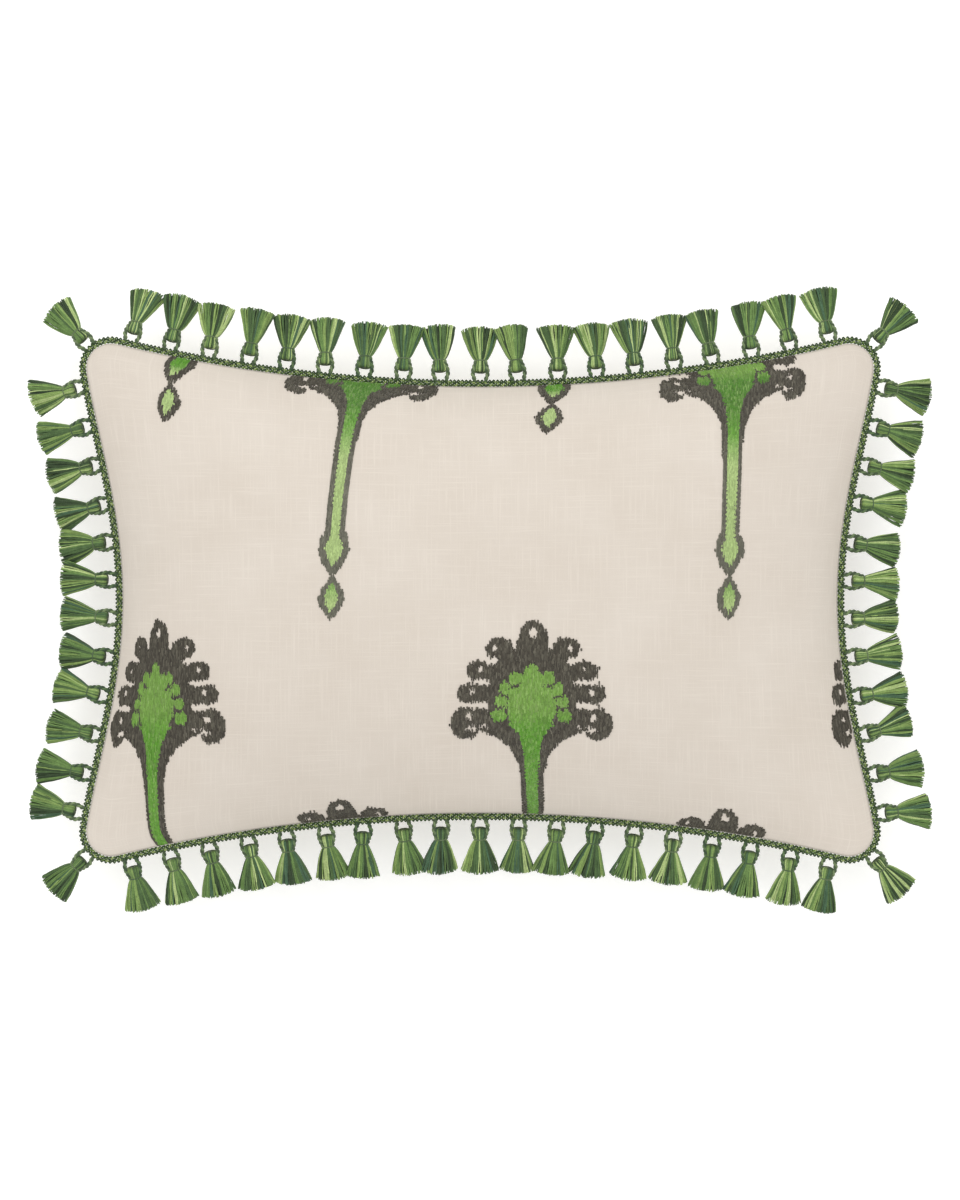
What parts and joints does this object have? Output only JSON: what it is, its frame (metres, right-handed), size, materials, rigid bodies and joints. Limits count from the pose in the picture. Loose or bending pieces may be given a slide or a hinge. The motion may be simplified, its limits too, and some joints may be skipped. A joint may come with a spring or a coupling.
{
  "type": "throw pillow",
  "caption": "Stuffed lumbar throw pillow with embroidered linen cover, hidden zipper, gimp braid edge and hanging brush tassels.",
  "frame": {"origin": "under the middle of the pillow, on the surface that its back lies on", "axes": "+X along the long side, +Y up the embroidered face, +Z out of the face (the pillow lies on its back)"},
  "size_m": [0.6232, 0.4334, 0.1343],
  "materials": {
    "linen": "matte",
    "charcoal_thread": "satin",
    "green_thread": "satin",
    "gimp_cotton": "matte",
    "tassel_cord": "matte",
    "tassel_yarn": "matte",
    "header_tape": "matte",
    "ticking": "matte",
    "fill": "matte",
    "zipper_tape": "matte",
    "zipper_coil": "satin",
    "zipper_metal": "satin"
  },
  "bodies": {
    "cushion": {"front_panel": "linen", "back_panel": "linen", "insert_front_ticking": "ticking", "insert_back_ticking": "ticking", "insert_fill": "fill", "gimp_braid": "gimp_cotton", "header_tape": "header_tape", "embroidery_charcoal": "charcoal_thread", "embroidery_green": "green_thread", "zipper_tape_upper": "zipper_tape", "zipper_tape_lower": "zipper_tape", "zipper_coil_upper": "zipper_coil", "zipper_coil_lower": "zipper_coil", "zipper_stops": "zipper_metal"},
    "tassels_top_1": {"tassels_top_1_loops": "tassel_cord", "tassels_top_1_yarn": "tassel_yarn"},
    "tassels_top_2": {"tassels_top_2_loops": "tassel_cord", "tassels_top_2_yarn": "tassel_yarn"},
    "tassels_top_3": {"tassels_top_3_loops": "tassel_cord", "tassels_top_3_yarn": "tassel_yarn"},
    "tassels_top_4": {"tassels_top_4_loops": "tassel_cord", "tassels_top_4_yarn": "tassel_yarn"},
    "tassels_top_5": {"tassels_top_5_loops": "tassel_cord", "tassels_top_5_yarn": "tassel_yarn"},
    "tassels_bottom_1": {"tassels_bottom_1_loops": "tassel_cord", "tassels_bottom_1_yarn": "tassel_yarn"},
    "tassels_bottom_2": {"tassels_bottom_2_loops": "tassel_cord", "tassels_bottom_2_yarn": "tassel_yarn"},
    "tassels_bottom_3": {"tassels_bottom_3_loops": "tassel_cord", "tassels_bottom_3_yarn": "tassel_yarn"},
    "tassels_bottom_4": {"tassels_bottom_4_loops": "tassel_cord", "tassels_bottom_4_yarn": "tassel_yarn"},
    "tassels_bottom_5": {"tassels_bottom_5_loops": "tassel_cord", "tassels_bottom_5_yarn": "tassel_yarn"},
    "tassels_left_1": {"tassels_left_1_loops": "tassel_cord", "tassels_left_1_yarn": "tassel_yarn"},
    "tassels_left_2": {"tassels_left_2_loops": "tassel_cord", "tassels_left_2_yarn": "tassel_yarn"},
    "tassels_left_3": {"tassels_left_3_loops": "tassel_cord", "tassels_left_3_yarn": "tassel_yarn"},
    "tassels_right_1": {"tassels_right_1_loops": "tassel_cord", "tassels_right_1_yarn": "tassel_yarn"},
    "tassels_right_2": {"tassels_right_2_loops": "tassel_cord", "tassels_right_2_yarn": "tassel_yarn"},
    "tassels_right_3": {"tassels_right_3_loops": "tassel_cord", "tassels_right_3_yarn": "tassel_yarn"},
    "tassel_corner_top_left": {"tassel_corner_top_left_loops": "tassel_cord", "tassel_corner_top_left_yarn": "tassel_yarn"},
    "tassel_corner_top_right": {"tassel_corner_top_right_loops": "tassel_cord", "tassel_corner_top_right_yarn": "tassel_yarn"},
    "tassel_corner_bottom_left": {"tassel_corner_bottom_left_loops": "tassel_cord", "tassel_corner_bottom_left_yarn": "tassel_yarn"},
    "tassel_corner_bottom_right": {"tassel_corner_bottom_right_loops": "tassel_cord", "tassel_corner_bottom_right_yarn": "tassel_yarn"},
    "zipper_slider": {"zipper_slider": "zipper_metal"},
    "zipper_pull": {"zipper_pull": "zipper_metal"}
  },
  "joints": [
    {"name": "tassels_top_1_swing", "type": "hinge", "parent": "cushion", "child": "tassels_top_1", "pos_m": [-0.20062, 0.16732, 0.06], "axis": [0.9824, -0.187, 0], "range_deg": [-65, 85]},
    {"name": "tassels_top_2_swing", "type": "hinge", "parent": "cushion", "child": "tassels_top_2", "pos_m": [-0.09362, 0.15249, 0.06], "axis": [0.9962, -0.0873, 0], "range_deg": [-65, 85]},
    {"name": "tassels_top_3_swing", "type": "hinge", "parent": "cushion", "child": "tassels_top_3", "pos_m": [0, 0.1484, 0.06], "axis": [1, 0, 0], "range_deg": [-65, 85]},
    {"name": "tassels_top_4_swing", "type": "hinge", "parent": "cushion", "child": "tassels_top_4", "pos_m": [0.09362, 0.15249, 0.06], "axis": [0.9962, 0.0873, 0], "range_deg": [-65, 85]},
    {"name": "tassels_top_5_swing", "type": "hinge", "parent": "cushion", "child": "tassels_top_5", "pos_m": [0.20062, 0.16732, 0.06], "axis": [0.9824, 0.187, 0], "range_deg": [-65, 85]},
    {"name": "tassels_bottom_1_swing", "type": "hinge", "parent": "cushion", "child": "tassels_bottom_1", "pos_m": [-0.20062, -0.16732, 0.06], "axis": [-0.9824, -0.187, 0], "range_deg": [-65, 85]},
    {"name": "tassels_bottom_2_swing", "type": "hinge", "parent": "cushion", "child": "tassels_bottom_2", "pos_m": [-0.09362, -0.15249, 0.06], "axis": [-0.9962, -0.0873, 0], "range_deg": [-65, 85]},
    {"name": "tassels_bottom_3_swing", "type": "hinge", "parent": "cushion", "child": "tassels_bottom_3", "pos_m": [0, -0.1484, 0.06], "axis": [-1, 0, 0], "range_deg": [-65, 85]},
    {"name": "tassels_bottom_4_swing", "type": "hinge", "parent": "cushion", "child": "tassels_bottom_4", "pos_m": [0.09362, -0.15249, 0.06], "axis": [-0.9962, 0.0873, 0], "range_deg": [-65, 85]},
    {"name": "tassels_bottom_5_swing", "type": "hinge", "parent": "cushion", "child": "tassels_bottom_5", "pos_m": [0.20062, -0.16732, 0.06], "axis": [-0.9824, 0.187, 0], "range_deg": [-65, 85]},
    {"name": "tassels_left_1_swing", "type": "hinge", "parent": "cushion", "child": "tassels_left_1", "pos_m": [-0.26217, -0.107, 0.06], "axis": [0.2188, 0.9758, 0], "range_deg": [-65, 85]},
    {"name": "tassels_left_2_swing", "type": "hinge", "parent": "cushion", "child": "tassels_left_2", "pos_m": [-0.2475, 0, 0.06], "axis": [0, 1, 0], "range_deg": [-65, 85]},
    {"name": "tassels_left_3_swing", "type": "hinge", "parent": "cushion", "child": "tassels_left_3", "pos_m": [-0.26217, 0.107, 0.06], "axis": [-0.2188, 0.9758, 0], "range_deg": [-65, 85]},
    {"name": "tassels_right_1_swing", "type": "hinge", "parent": "cushion", "child": "tassels_right_1", "pos_m": [0.26217, -0.107, 0.06], "axis": [0.2188, -0.9758, 0], "range_deg": [-65, 85]},
    {"name": "tassels_right_2_swing", "type": "hinge", "parent": "cushion", "child": "tassels_right_2", "pos_m": [0.2475, 0, 0.06], "axis": [0, -1, 0], "range_deg": [-65, 85]},
    {"name": "tassels_right_3_swing", "type": "hinge", "parent": "cushion", "child": "tassels_right_3", "pos_m": [0.26217, 0.107, 0.06], "axis": [-0.2188, -0.9758, 0], "range_deg": [-65, 85]},
    {"name": "tassel_corner_top_left_swing", "type": "hinge", "parent": "cushion", "child": "tassel_corner_top_left", "pos_m": [-0.26701, 0.17268, 0.06], "axis": [0.7071, 0.7071, 0], "range_deg": [-65, 85]},
    {"name": "tassel_corner_top_right_swing", "type": "hinge", "parent": "cushion", "child": "tassel_corner_top_right", "pos_m": [0.26701, 0.17268, 0.06], "axis": [0.7071, -0.7071, 0], "range_deg": [-65, 85]},
    {"name": "tassel_corner_bottom_left_swing", "type": "hinge", "parent": "cushion", "child": "tassel_corner_bottom_left", "pos_m": [-0.26701, -0.17268, 0.06], "axis": [-0.7071, 0.7071, 0], "range_deg": [-65, 85]},
    {"name": "tassel_corner_bottom_right_swing", "type": "hinge", "parent": "cushion", "child": "tassel_corner_bottom_right", "pos_m": [0.26701, -0.17268, 0.06], "axis": [-0.7071, -0.7071, 0], "range_deg": [-65, 85]},
    {"name": "zipper_slide", "type": "hinge", "parent": "cushion", "child": "zipper_slider", "pos_m": [0, -1.2214, 0.04885], "axis": [0, 0, -1], "range_deg": [0, 18]},
    {"name": "zipper_pull_flip", "type": "hinge", "parent": "zipper_slider", "child": "zipper_pull", "pos_m": [-0.16862, -0.15647, 0.04885], "axis": [-0.0974, 0.6149, -0.7826], "range_deg": [0, 172]}
  ]
}
